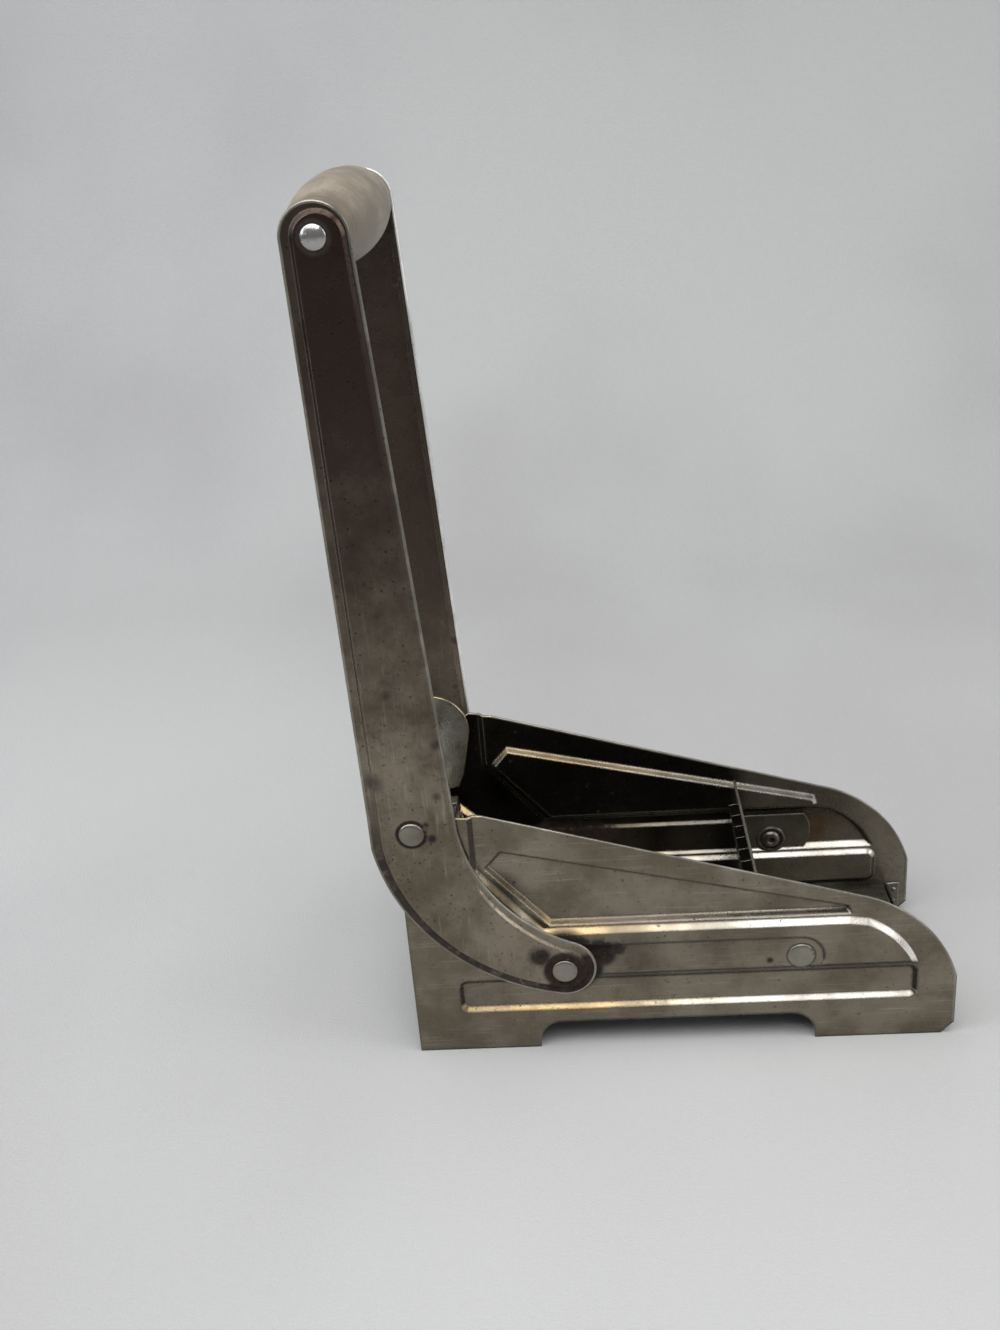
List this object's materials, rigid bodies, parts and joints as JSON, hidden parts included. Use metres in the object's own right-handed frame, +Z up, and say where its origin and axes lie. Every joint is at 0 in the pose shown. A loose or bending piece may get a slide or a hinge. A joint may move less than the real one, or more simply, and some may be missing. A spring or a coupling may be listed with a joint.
{
  "type": "french fry cutter",
  "caption": "Bench lever cutter that pushes a potato through a fixed blade grid with a studded pusher hung from a long forked lever with a barrel grip.",
  "frame": {"origin": "middle of the tool's footprint on the table, with the lever at rest", "axes": "+X forward to the blade outlet, +Y to the far side along the lever's pivot, +Z up"},
  "size_m": [0.264, 0.1428, 0.3915],
  "materials": {
    "body_steel": "worn, pitted",
    "lever_steel": "dark worn patina",
    "rivet_steel": "worn, rusty round the edge",
    "blade_steel": "bright cut edges",
    "pusher_steel": "worn tinned",
    "grip_wood": "worn, greyed"
  },
  "bodies": {
    "body": {"far_side_wall": "body_steel", "near_side_wall": "body_steel", "floor_tray": "body_steel", "back_plate": "body_steel", "front_brace": "body_steel", "grid_frame": "body_steel", "upright_blades": "blade_steel", "level_blades": "blade_steel", "far_grid_rivet": "rivet_steel", "near_grid_rivet": "rivet_steel", "far_pivot_rivet": "rivet_steel", "near_pivot_rivet": "rivet_steel", "far_pivot_washer": "rivet_steel", "near_pivot_washer": "rivet_steel"},
    "lever": {"far_lever_arm": "lever_steel", "near_lever_arm": "lever_steel", "drive_rod": "rivet_steel", "far_rod_spacer": "rivet_steel", "near_rod_spacer": "rivet_steel", "grip_rod": "rivet_steel"},
    "grip": {"grip": "grip_wood"},
    "pusher": {"pusher_frame": "pusher_steel", "face_plate": "pusher_steel", "face_rivets": "rivet_steel"}
  },
  "joints": [
    {"name": "lever_swing", "type": "hinge", "parent": "body", "child": "lever", "pos_m": [-0.04435, 0, 0.0472], "axis": [0, 1, 0], "range_deg": [0, 88]},
    {"name": "pusher_hang", "type": "hinge", "parent": "lever", "child": "pusher", "pos_m": [-0.10675, 0, 0.1215], "axis": [0, 1, 0], "range_deg": [-88, 0]},
    {"name": "grip_spin", "type": "hinge", "parent": "lever", "child": "grip", "pos_m": [-0.11455, 0, 0.374], "axis": [0, 1, 0], "continuous": true}
  ],
  "couplings": [
    {"joint": "pusher_hang", "follows": "lever_swing", "ratio": -1}
  ]
}
